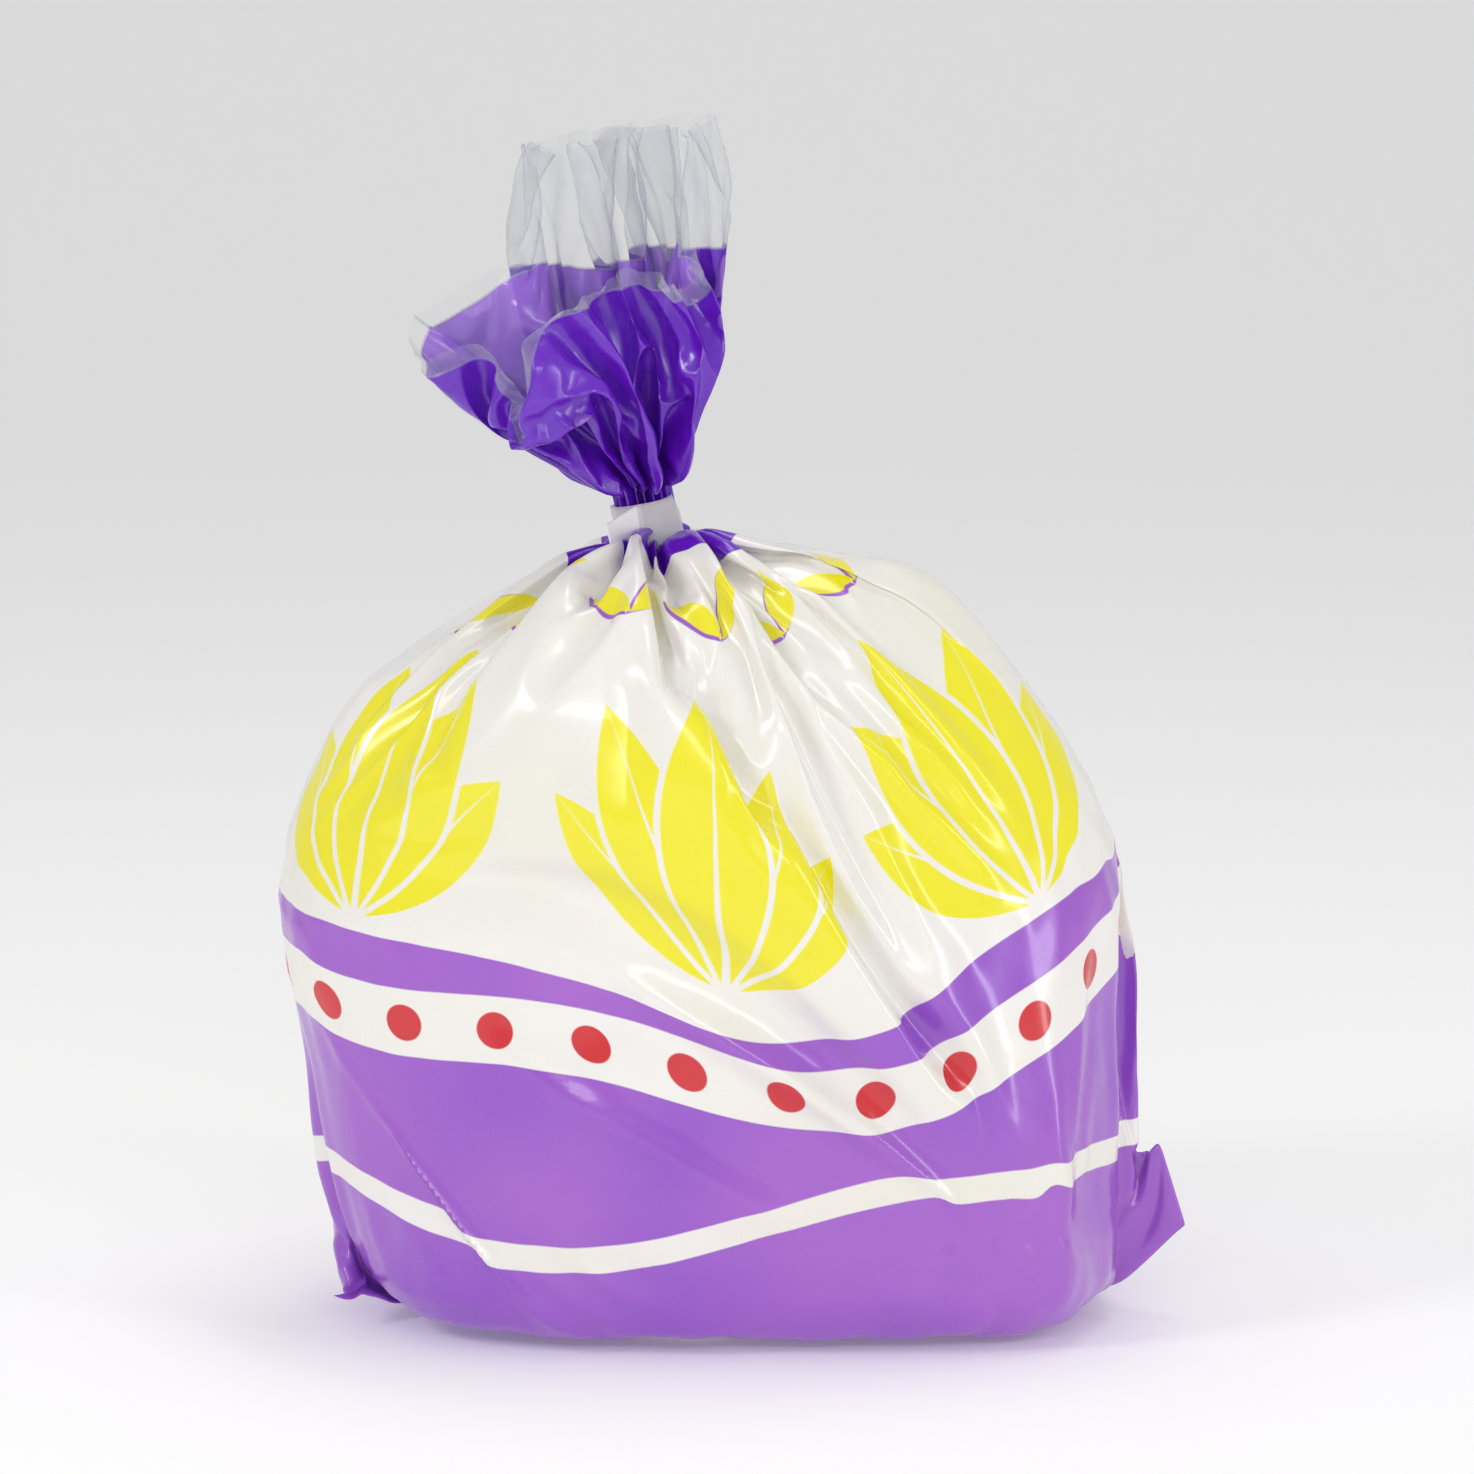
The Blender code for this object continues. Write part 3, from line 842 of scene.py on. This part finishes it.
def film_material():
    """Printed polythene: opaque over the body, slightly sheer at the neck, bare and clear at the lip."""
    material, shading, principled = new_material("printed polythene")
    place = shading.node("TexCoord").outputs["Object"]
    spot = shading.node("UVMap", uv_map="film").outputs[0]
    cream = shading.noise(place, 16.0, 2.0)
    cream = shading.math("MULTIPLY_ADD", cream, 2.6, -1.0, clamp=True)
    white = shading.colour(cream, linear("F1EEEA"), linear("E9E7D8"))
    bloom = shading.math("MULTIPLY_ADD", shading.noise(place, 22.0, 1.0), 3.0, -1.0, clamp=True)
    purple = shading.colour(bloom, linear("9450C8"), linear("A55FCA"))
    print_on = shading.group("film print", {
        "Spot": spot, "White": white, "Purple": purple, "Deep Purple": linear("6812C2"),
        "Yellow": linear("F1E81C"), "Red": linear("D2222C")})
    inside = shading.node("NewGeometry").outputs["Backfacing"]
    back_colour = shading.colour(print_on["Neck"], linear("E9E7E4"), linear("9462D4"))
    colour = shading.colour(inside, print_on["Color"], back_colour)
    colour = shading.colour(print_on["Bare"], colour, linear("C3C5D0"))
    facets_here = shading.math("MULTIPLY_ADD", print_on["Neck"], 0.45, 0.05)
    creases = shading.group("film creases", {
        "Vector": place, "Dents": 0.25, "Creases": 0.35, "Facets": facets_here})
    rim = shading.node("LayerWeight", {"Blend": 0.35}).outputs["Facing"]
    clear = shading.math("MULTIPLY_ADD", rim, 0.6, 0.12)
    opacity = shading.number(print_on["Neck"], 1.0, 0.93)
    opacity = shading.number(print_on["Bare"], opacity, clear)
    shading.feed(principled.inputs["Base Color"], colour)
    shading.feed(principled.inputs["Alpha"], opacity)
    shading.feed(principled.inputs["Normal"], creases["Normal"])
    roughness = shading.math("MULTIPLY_ADD", shading.noise(place, 60.0), 0.14, 0.2)
    shading.feed(principled.inputs["Roughness"], roughness)
    principled.inputs["IOR"].default_value = 1.51
    principled.inputs["Coat Weight"].default_value = 0.5
    principled.inputs["Coat Roughness"].default_value = 0.12
    return material


def tape_material():
    """Thin white tape: sheer where one layer of it goes round the neck, and solid where two are stuck."""
    material, shading, principled = new_material("closing tape")
    place = shading.node("TexCoord").outputs["Object"]
    along, across = shading.split(shading.node("UVMap", uv_map="tape").outputs[0])
    grain = shading.noise(place, 400.0)
    colour = shading.colour(grain, linear("F8F5F1"), linear("FDFBF7"))
    creases = shading.group("film creases", {"Vector": place, "Dents": 0.5, "Creases": 0.6})
    off_middle = shading.math("ABSOLUTE", shading.math("SUBTRACT", along, 0.5))
    loop = shading.below(off_middle, 0.5 - TAB_SHARE, 0.03)
    shading.feed(principled.inputs["Base Color"], colour)
    shading.feed(principled.inputs["Alpha"], shading.number(loop, 1.0, 0.42))
    shading.feed(principled.inputs["Normal"], creases["Normal"])
    shading.feed(principled.inputs["Roughness"], shading.math("MULTIPLY_ADD", grain, 0.2, 0.3))
    return material


def endive_flesh_group():
    """Blanched leaf: pale flesh with fine lengthwise veins, greener towards its tip."""
    shading, entry, leave = new_group(
        "endive flesh",
        {"Spot": VECTOR, "Flesh": COLOUR, "Tip": COLOUR,
         "Tip From": ("Float", 0.5), "Veins": ("Float", 0.5)},
        {"Color": COLOUR, "Roughness": FLOAT, "Normal": VECTOR},
    )
    round_it, up = shading.split(entry["Spot"])
    streaks = shading.noise(shading.join(shading.math("MULTIPLY", round_it, 9.0), up), 5.0, 4.0)
    veins = shading.math("POWER", shading.math("ABSOLUTE", shading.wave(26, 0.0, round_it, 1.0)), 5.0)
    green = shading.math("SUBTRACT", up, entry["Tip From"])
    patchy = shading.math("MULTIPLY_ADD", streaks, 0.5, -0.25)
    green = shading.math("MULTIPLY_ADD", green, 2.2, patchy, clamp=True)
    colour = shading.colour(green, entry["Flesh"], entry["Tip"])
    pale = shading.math("MULTIPLY", veins, shading.math("MULTIPLY", entry["Veins"], 0.5))
    shading.feed(leave["Color"], shading.colour(pale, colour, linear("FBFAF0")))
    shading.feed(leave["Roughness"], shading.math("MULTIPLY_ADD", streaks, 0.2, 0.32))
    height = shading.math("MULTIPLY_ADD", veins, entry["Veins"], shading.math("MULTIPLY", streaks, 0.4))
    bump = shading.node("Bump", {"Strength": 0.5, "Distance": 0.0006, "Height": height})
    shading.feed(leave["Normal"], bump.outputs[0])


def flesh_material(name, flesh, tip, tip_from, veins):
    material, shading, principled = new_material(name)
    spot = shading.node("UVMap", uv_map="grain").outputs[0]
    surface = shading.group("endive flesh", {
        "Spot": spot, "Flesh": linear(flesh), "Tip": linear(tip), "Tip From": tip_from, "Veins": veins})
    for socket, output in (("Base Color", "Color"), ("Roughness", "Roughness"), ("Normal", "Normal")):
        shading.feed(principled.inputs[socket], surface[output])
    principled.inputs["Subsurface Weight"].default_value = 0.25
    principled.inputs["Subsurface Radius"].default_value = (0.004, 0.004, 0.002)
    return material


def add_piece(name, shape, material):
    """A finished bmesh as an object, smooth, with its material."""
    mesh = bpy.data.meshes.new(name)
    shape.to_mesh(mesh)
    shape.free()
    mesh.shade_smooth()
    mesh.materials.append(material)
    piece = bpy.data.objects.new(name, mesh)
    bpy.context.scene.collection.objects.link(piece)
    return piece


# ---- The tape ----

# The strip runs from the outer end of its tab, round the neck and back, at the height of the solid tape.
TAPE_WIDTH = 12.8 * MM
TAPE_WALL = 0.14 * MM
TAPE_RADIUS = 7.35 * MM
TAB_FROM = math.radians(262.0)
TAB_WAY = math.radians(232.0)
TAB_LONG = 10.5 * MM
TAB_STEP = 0.8 * MM
TAB_SLANT = 2.2 * MM
TAB_CURL = 1.1 * MM
TAB_LAYER = 0.16 * MM
LOOP_LONG = 2.0 * math.pi * TAPE_RADIUS
TAB_SHARE = TAB_LONG / (LOOP_LONG + 2.0 * TAB_LONG)
TAPE_COLUMNS = 144
TAPE_ROWS = 12


def tape_place(along, across):
    """A spot of the tape in the neck's own axes. along runs from 0 to 1 and across from -0.5 to 0.5."""
    way = Vector((math.cos(TAB_WAY), math.sin(TAB_WAY), 0.0))
    side = Vector((-way.y, way.x, 0.0))
    share = min(along, 1.0 - along) / TAB_SHARE
    turn = min(max((along - TAB_SHARE) / (1.0 - 2.0 * TAB_SHARE), 0.0), 1.0)
    angle = TAB_FROM - 2.0 * math.pi * turn
    height = across * TAPE_WIDTH
    radius = TAPE_RADIUS - 1.3 * MM * across + 0.22 * MM * math.sin(3.0 * angle + 9.0 * across)
    if share < 1.0:
        long = TAB_LONG if along < 0.5 else TAB_LONG - TAB_STEP
        out = (1.0 - share) * long
        curl = TAB_CURL * math.sin(1.7 * out / TAB_LONG) * (0.5 + across)
        layer = TAB_LAYER if along < 0.5 else -TAB_LAYER
        spot = Vector((math.cos(TAB_FROM), math.sin(TAB_FROM), 0.0)) * radius
        spot += way * out + side * (layer - curl)
        spot.z = height - TAB_SLANT * (0.5 + across) * out / TAB_LONG
        return spot
    flutter = 0.3 * MM * math.sin(2.0 * angle + 1.0) * (1.0 - turn) * turn * 4.0
    return Vector((radius * math.cos(angle), radius * math.sin(angle), height + flutter))


def make_tape():
    """The strip of tape: a loop round the neck, with both its ends stuck together in a tab."""
    shape = bmesh.new()
    flat = shape.loops.layers.uv.new("tape")
    bmesh.ops.create_grid(shape, x_segments=TAPE_COLUMNS, y_segments=TAPE_ROWS, size=0.5)
    for face in shape.faces:
        for loop in face.loops:
            loop[flat].uv = (loop.vert.co.x + 0.5, loop.vert.co.y + 0.5)
    lean = Matrix.Rotation(-NECK_LEAN, 3, "Y")
    for vert in shape.verts:
        vert.co = NECK_CENTRE + lean @ tape_place(vert.co.x + 0.5, vert.co.y)
    tape = add_piece("closing_tape", shape, tape_material())
    wall = tape.modifiers.new("wall", "SOLIDIFY")
    wall.thickness = TAPE_WALL
    wall.offset = 0.0
    return tape


# ---- The heads ----


def make_flesh(node, axis_from, axis_to, material, rib):
    """One leaf, heart or stem in its full shape: its solid, merged and made finer, with lengthwise ribs."""
    shape = bmesh.new()
    shape.from_mesh(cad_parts[node].data)
    bmesh.ops.remove_doubles(shape, verts=shape.verts, dist=0.01 * MM)
    bmesh.ops.subdivide_edges(shape, edges=shape.edges, cuts=1, smooth=0.4, use_grid_fill=True)
    axis = axis_to - axis_from
    long = axis.length
    axis.normalize()
    side = axis.cross(Vector((0.0, 0.0, 1.0))).normalized()
    up = side.cross(axis)

    def grain(place):
        reach = place - axis_from
        return math.atan2(reach.dot(side), reach.dot(up)), reach.dot(axis) / long

    for vert in shape.verts:
        angle, share = grain(vert.co)
        fine = 0.5 + 0.5 * math.cos(22.0 * angle)
        vert.co += vert.normal * rib * (fine**2 - 1.0) * (1.0 - 0.6 * min(max(share, 0.0), 1.0))
    flat = shape.loops.layers.uv.new("grain")
    for face in shape.faces:
        for loop in face.loops:
            loop[flat].uv = grain(loop.vert.co)
    bmesh.ops.recalc_face_normals(shape, faces=shape.faces)
    return add_piece("fine_" + node, shape, material)


def make_heads():
    """All the heads inside the bag, each with its stem, heart and leaves."""
    finishes = {
        "stem": (flesh_material("cut stem", "E9DFC6", "F1EBDA", 0.05, 0.2), 0.15 * MM),
        "heart": (flesh_material("leaf heart", "F3F2DC", "E4E58C", 0.55, 0.5), 0.3 * MM),
        "leaf": (flesh_material("blanched leaf", "F6F5E6", "DDE07A", 0.62, 0.7), 0.35 * MM),
    }
    for name in sorted({node.rsplit("_stem", 1)[0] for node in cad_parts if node.endswith("_stem")}):
        low, high = (Vector(corner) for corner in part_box(name + "_heart"))
        stem_low, stem_high = (Vector(corner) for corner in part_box(name + "_stem"))
        base = (stem_low + stem_high) * 0.5
        ends = (Vector((low.x, base.y, base.z)), Vector((high.x, base.y, base.z)))
        tip = max(ends, key=lambda end: (end - base).length)
        for node in sorted(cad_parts):
            if not node.startswith(name + "_"):
                continue
            kind = node[len(name) + 1:].split("_")[0]
            material, rib = finishes[kind]
            piece = make_flesh(node, base, tip, material, rib)
            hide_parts(node)
            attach(piece, "root")


# ---- The stage ----


FLOOR_REACH = 4.0
SWEEP_BACK = -1.0
SWEEP_RADIUS = 1.2


def make_floor():
    """A pale floor that sweeps up behind the object."""
    shape = bmesh.new()
    bmesh.ops.create_grid(shape, x_segments=1, y_segments=1, size=FLOOR_REACH)
    far = [vert for vert in shape.verts if vert.co.y > 0.0]
    bmesh.ops.translate(shape, verts=far, vec=(0.0, SWEEP_BACK, 0.0))
    back = max(shape.edges, key=lambda edge: edge.verts[0].co.y + edge.verts[1].co.y)
    wall = bmesh.ops.extrude_edge_only(shape, edges=[back])["geom"]
    wall = [item for item in wall if isinstance(item, bmesh.types.BMVert)]
    bmesh.ops.translate(shape, verts=wall, vec=(0.0, 0.0, FLOOR_REACH))
    bmesh.ops.bevel(shape, geom=[back], offset=SWEEP_RADIUS, segments=24, profile=0.5,
                    affect="EDGES", material=-1)
    material, shading, principled = new_material("pale floor")
    principled.inputs["Base Color"].default_value = linear("F6F6F6")
    principled.inputs["Roughness"].default_value = 0.9
    principled.inputs["Emission Color"].default_value = linear("FFFFFF")
    principled.inputs["Emission Strength"].default_value = 0.14
    add_piece("floor", shape, material)


def add_lamp(name, place, size, watts):
    data = bpy.data.lights.new(name, "AREA")
    data.shape = "RECTANGLE"
    data.size, data.size_y = size
    data.energy = watts
    lamp = bpy.data.objects.new(name, data)
    bpy.context.scene.collection.objects.link(lamp)
    lamp.location = place
    lamp.rotation_euler = (LIT_SPOT - Vector(place)).to_track_quat("-Z", "Y").to_euler()


# Each lamp's place, its width and height, and its watts. All of them point at one spot of the bag.
LIT_SPOT = Vector((0.0, 0.0, 0.12))
LAMPS = {
    "key": ((-0.95, -0.6, 0.75), (0.3, 0.3), 3.2),
    "front": ((0.1, -1.15, 0.6), (1.0, 0.16), 2.8),
    "side": ((0.95, -0.6, 0.3), (0.12, 0.7), 2.0),
    "top": ((0.15, 0.1, 1.2), (0.8, 0.25), 2.4),
}
WORLD_LIGHT = 0.52

# The camera stands straight in front of the bag, a little above it.
VIEW_CENTRE = Vector((0.0, 0.0, 0.1265))
VIEW_DISTANCE = 1.3
VIEW_ELEVATION = math.radians(9.0)
VIEW_WIDTH = 0.317
SENSOR = 36.0


def make_studio():
    world = bpy.data.worlds.new("studio")
    world.use_nodes = True
    background = world.node_tree.nodes["Background"]
    background.inputs["Color"].default_value = (1.0, 1.0, 1.0, 1.0)
    background.inputs["Strength"].default_value = WORLD_LIGHT
    bpy.context.scene.world = world
    bpy.context.scene.view_settings.view_transform = "Standard"
    for name, (place, size, watts) in LAMPS.items():
        add_lamp(name, place, size, watts)

    data = bpy.data.cameras.new("front view")
    data.sensor_width = SENSOR
    data.lens = SENSOR * VIEW_DISTANCE / VIEW_WIDTH
    camera = bpy.data.objects.new("front view", data)
    bpy.context.scene.collection.objects.link(camera)
    away = Vector((0.0, -math.cos(VIEW_ELEVATION), math.sin(VIEW_ELEVATION)))
    camera.location = VIEW_CENTRE + away * VIEW_DISTANCE
    camera.rotation_euler = (-away).to_track_quat("-Z", "Y").to_euler()
    bpy.context.scene.camera = camera


# ---- build ----

for build_group in (leaf_outline_group, leaf_fan_group, creases_group, film_print_group, endive_flesh_group):
    build_group()

make_floor()
make_studio()

film = make_film()
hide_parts("bag_film")
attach(film, "root")

tape = make_tape()
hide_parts("neck_tape")
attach(tape, "root")

make_heads()

bpy.context.view_layer.update()
